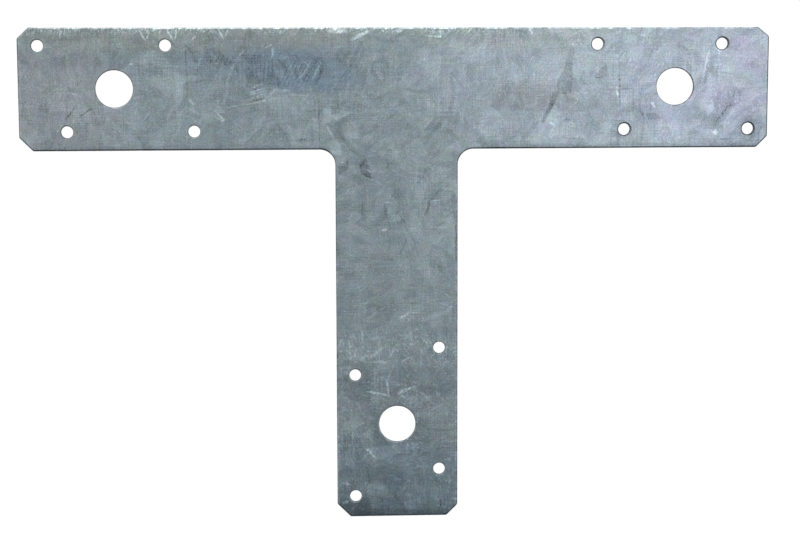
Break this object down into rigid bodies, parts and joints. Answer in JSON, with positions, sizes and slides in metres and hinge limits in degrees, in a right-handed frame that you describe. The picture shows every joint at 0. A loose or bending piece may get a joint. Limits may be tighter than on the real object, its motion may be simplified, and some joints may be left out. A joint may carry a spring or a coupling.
{
  "type": "t plate bracket",
  "caption": "Flat T-shaped galvanised steel tie plate with clipped corners, bolt holes and staggered nail holes, for lapping a post to a beam.",
  "frame": {"origin": "on the back face, where the centre lines of the cross bar and the leg cross", "axes": "+X along the cross bar, +Y up the leg towards the bar's upper edge, +Z out of the front face"},
  "size_m": [0.3048, 0.2032, 0.0019],
  "materials": {
    "zinc": "hot-dip galvanised sheet with a faint spangle"
  },
  "bodies": {
    "root": {"t_plate": "zinc"}
  },
  "joints": []
}
